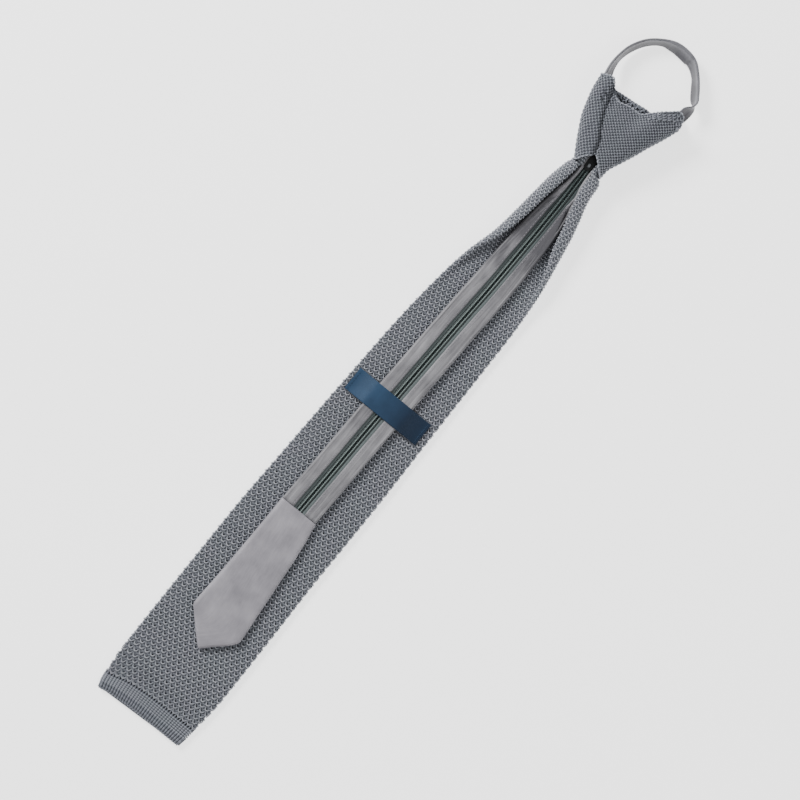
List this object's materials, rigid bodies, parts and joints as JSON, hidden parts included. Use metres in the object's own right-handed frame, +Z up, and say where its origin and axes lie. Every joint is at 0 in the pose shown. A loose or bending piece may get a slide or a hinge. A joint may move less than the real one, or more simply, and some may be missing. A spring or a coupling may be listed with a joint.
{
  "type": "zipper tie",
  "caption": "Knitted necktie with a ready-made knot, a satin neck strap and a zip in its tail, lying face down.",
  "frame": {"origin": "centre of the bounding box's base, on the surface that the tie lies on", "axes": "+X across the tie, +Y along it from the hem to the knot, +Z up out of its back"},
  "size_m": [0.0686, 0.5168, 0.0215],
  "materials": {
    "knit": "knitted",
    "satin": "satin weave",
    "zip_tape": "woven tape",
    "zip_coil": "satin",
    "slider_enamel": "gloss enamel",
    "label_ribbon": "satin ribbon"
  },
  "bodies": {
    "root": {"blade": "knit", "knot_wrap": "knit", "neck_strap": "satin", "tail_facing_left": "satin", "tail_facing_right": "satin", "tail_end": "satin", "zip_tape_left": "zip_tape", "zip_tape_right": "zip_tape", "zip_coil_left": "zip_coil", "zip_coil_right": "zip_coil", "zip_slider": "slider_enamel", "label_band": "label_ribbon"}
  },
  "joints": []
}
